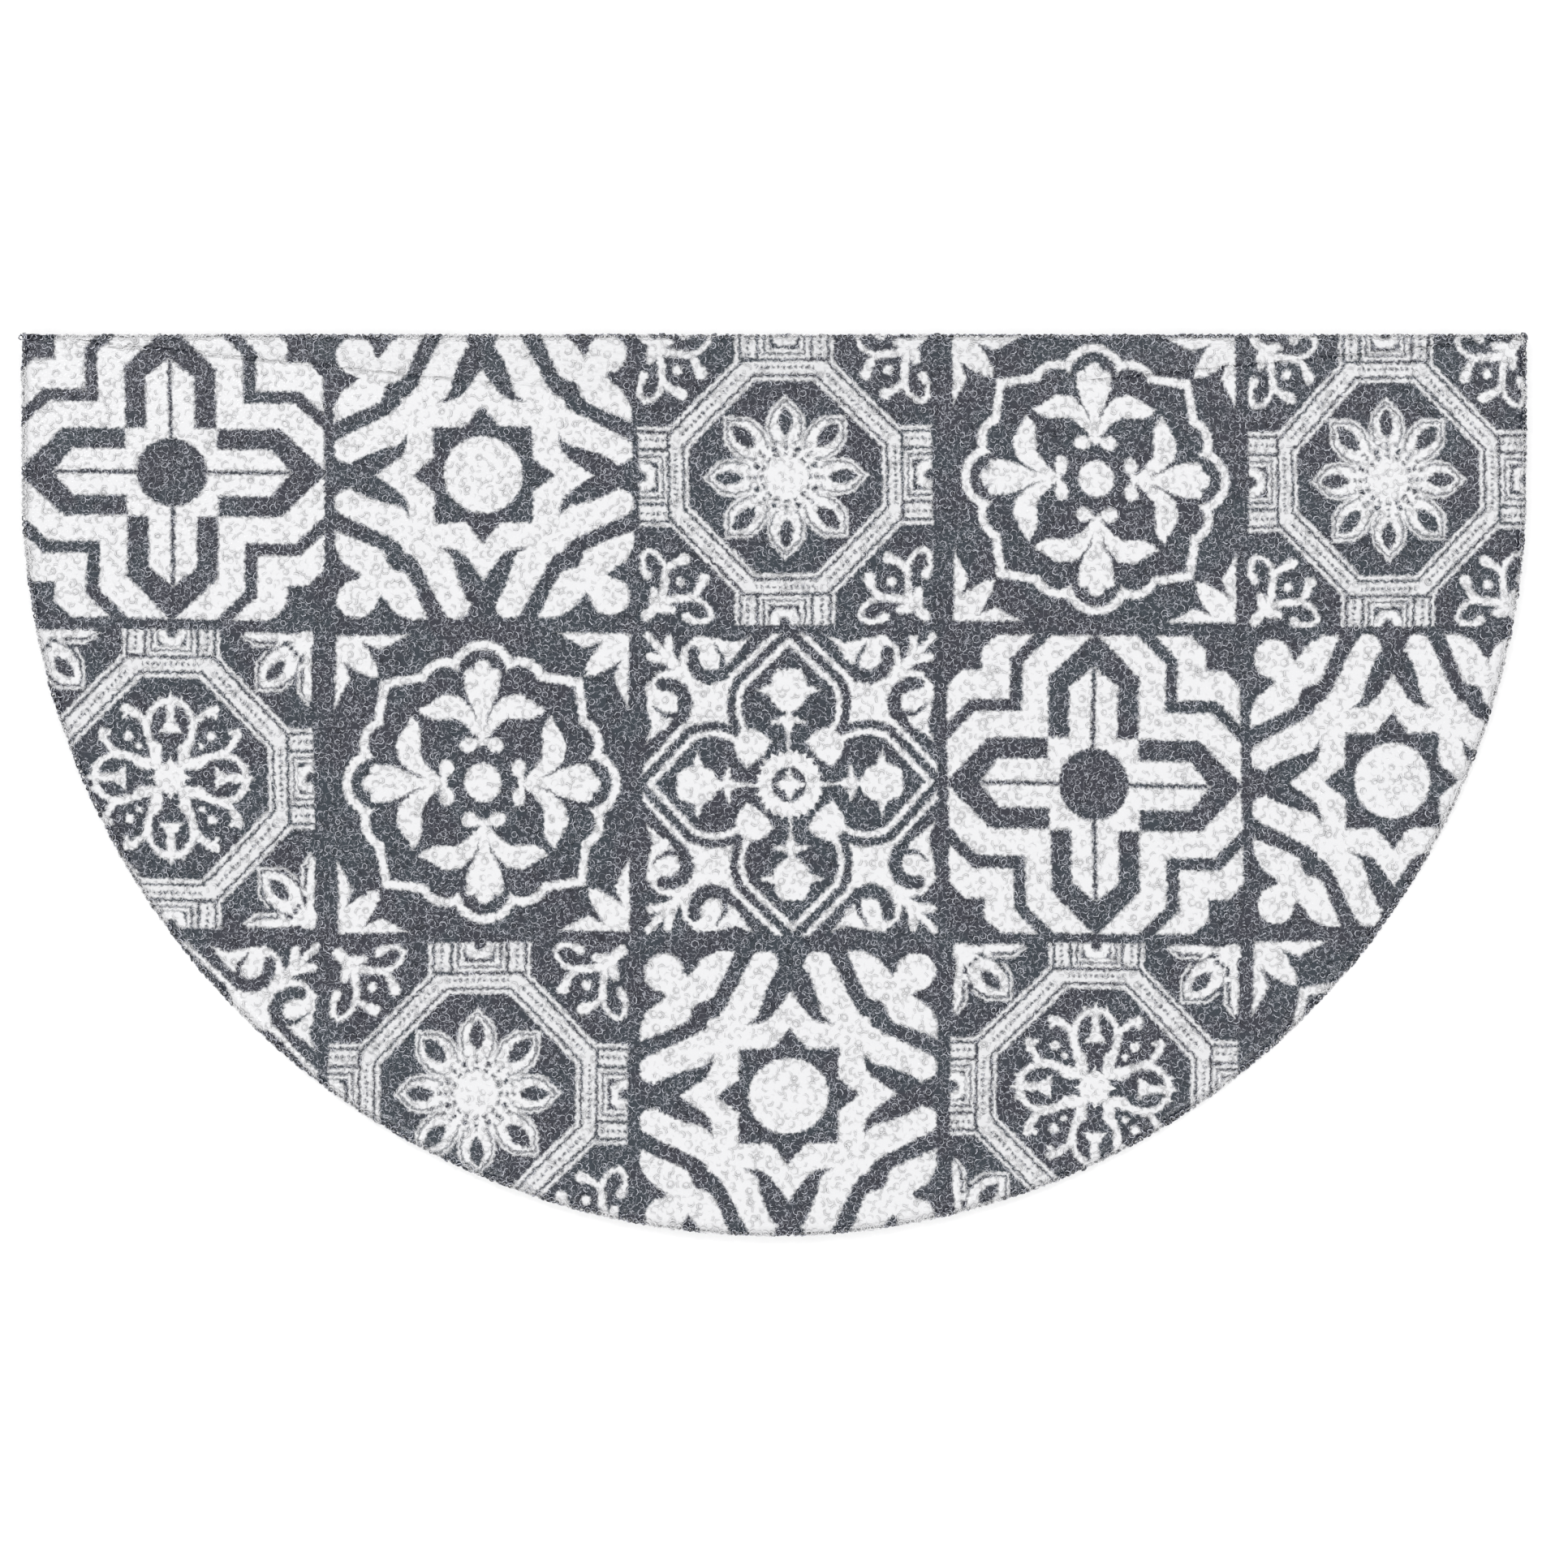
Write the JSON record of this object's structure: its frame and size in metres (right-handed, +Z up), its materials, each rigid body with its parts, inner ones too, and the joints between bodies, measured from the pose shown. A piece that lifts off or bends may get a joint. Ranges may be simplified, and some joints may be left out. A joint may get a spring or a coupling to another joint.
{
  "type": "half round doormat",
  "caption": "Flat half round doormat of looped plastic filament, with one straight edge, a cut rim and a printed patchwork of patterned tiles.",
  "frame": {"origin": "On the floor, under the middle of the mat's bounding box.", "axes": "+X along the straight edge, to the right as seen from above with the straight edge at the back; +Y towards the straight edge, which lies at the door; +Z up through the thickness."},
  "size_m": [0.75, 0.45, 0.01],
  "materials": {
    "mat": "looped vinyl filament, white with a charcoal print, satin"
  },
  "bodies": {
    "root": {"mat": "mat"}
  },
  "joints": []
}
